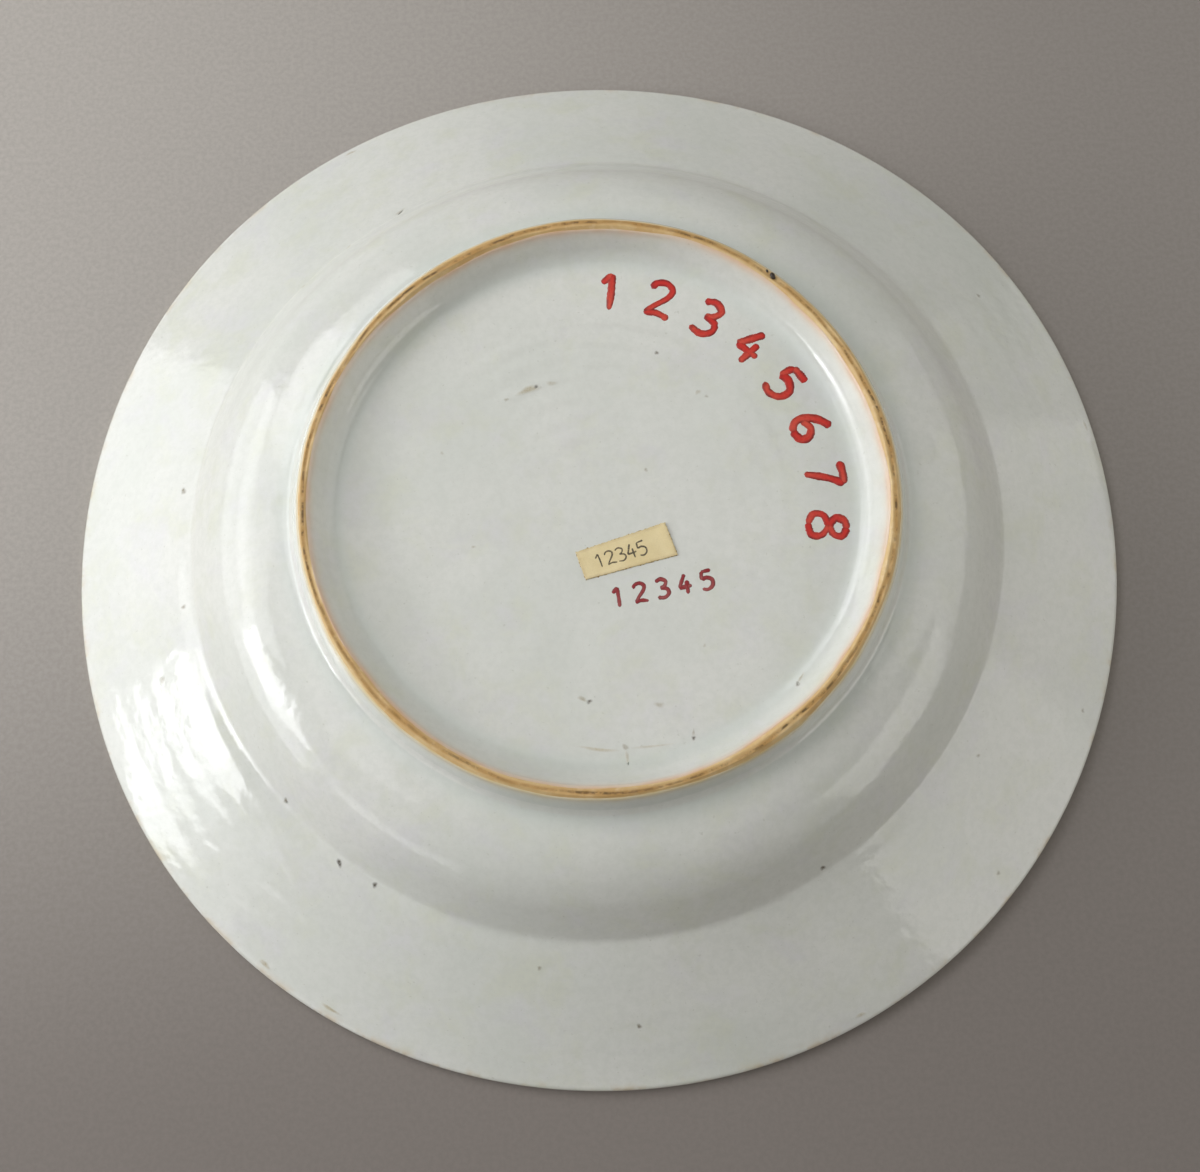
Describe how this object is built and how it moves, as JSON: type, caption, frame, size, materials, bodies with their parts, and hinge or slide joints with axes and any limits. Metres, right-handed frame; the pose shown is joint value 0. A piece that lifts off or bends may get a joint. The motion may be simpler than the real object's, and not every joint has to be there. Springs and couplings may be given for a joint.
{
  "type": "soup plate",
  "caption": "Round glazed porcelain soup plate with a deep well, a sloping flat rim and a bare-edged foot ring, lying face down.",
  "frame": {"origin": "centre of the lip's circle, on the surface that the plate lies on face down", "axes": "+Z along the plate's axis, out of its underside; +X to the right and +Y away from the viewer of the painted numbers"},
  "size_m": [0.23, 0.23, 0.0404],
  "materials": {
    "clay": "bare fired porcelain, toasted tan where no glaze covers it",
    "glaze": "glossy, faintly blue-grey white",
    "gum": "dried yellowish gum",
    "paper": "aged matte cream paper",
    "red_paint": "brushed red lacquer, satin",
    "dark_red_paint": "brushed dark red lacquer, satin"
  },
  "bodies": {
    "root": {"porcelain_body": "clay", "back_glaze": "glaze", "front_glaze": "glaze", "base_glaze": "glaze", "label_gum": "gum", "paper_label": "paper", "large_number": "red_paint", "small_number": "dark_red_paint"}
  },
  "joints": []
}
